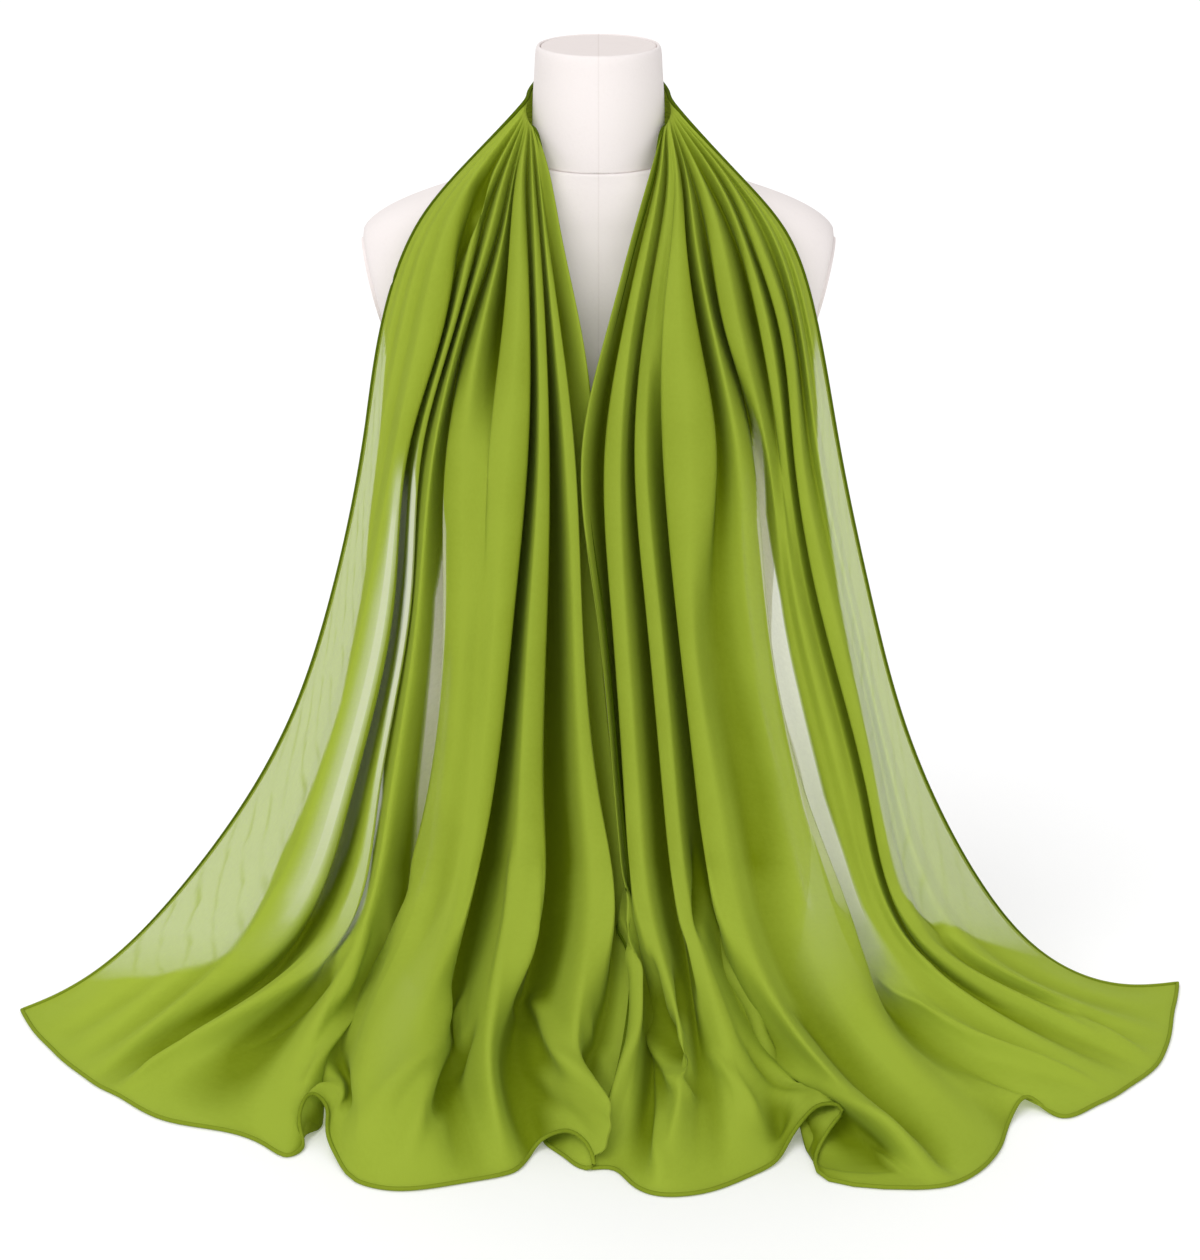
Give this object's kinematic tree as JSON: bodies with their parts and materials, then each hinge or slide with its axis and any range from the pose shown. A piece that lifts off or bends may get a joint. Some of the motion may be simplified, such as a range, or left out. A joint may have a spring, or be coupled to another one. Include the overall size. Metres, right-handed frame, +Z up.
{
  "type": "chiffon scarf on a dress form",
  "caption": "Sheer chiffon scarf draped round the neck of a limbless dress form, both gathered ends hanging in front and spread on the surface.",
  "frame": {"origin": "centre of the dress form's flat base face, on the surface that it stands on", "axes": "+X to the viewer's right, -Y to the front where the scarf's ends hang, +Z up along the neck's axis"},
  "size_m": [0.9115, 0.5068, 0.7485],
  "materials": {
    "chiffon": "sheer matte chiffon",
    "form_cover": "smooth matte woven cover",
    "form_cap": "matte"
  },
  "bodies": {
    "root": {"scarf_left_fall": "chiffon", "scarf_right_fall": "chiffon", "scarf_nape": "chiffon", "form_torso": "form_cover", "form_neck": "form_cover", "form_arm_plate_left": "form_cover", "form_arm_plate_right": "form_cover", "form_neck_cap": "form_cap"}
  },
  "joints": []
}
